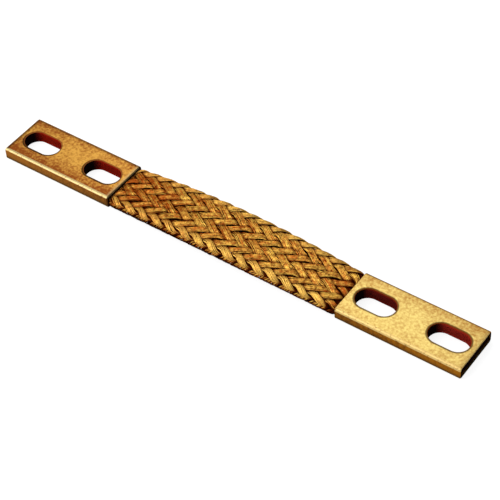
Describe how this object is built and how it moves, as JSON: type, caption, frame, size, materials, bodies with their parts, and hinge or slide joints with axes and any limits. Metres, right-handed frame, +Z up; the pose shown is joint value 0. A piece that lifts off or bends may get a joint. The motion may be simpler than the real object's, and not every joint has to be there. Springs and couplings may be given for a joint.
{
  "type": "braided jumper strap",
  "caption": "Flat flexible jumper strap: a herringbone tube of copper wire braid, pressed flat, with a slotted copper tube ferrule on each end for bolting between two terminals.",
  "frame": {"origin": "on the resting surface under the middle of the strap", "axes": "+X along the strap, +Y across it, +Z up out of the flat face"},
  "size_m": [0.3048, 0.0356, 0.0112],
  "materials": {
    "ferrule_copper": "pressed copper tube, satin, golden brown",
    "braid_copper": "bare copper wire, drawn and braided"
  },
  "bodies": {
    "root": {"left_ferrule": "ferrule_copper", "right_ferrule": "ferrule_copper", "braid": "braid_copper"}
  },
  "joints": []
}
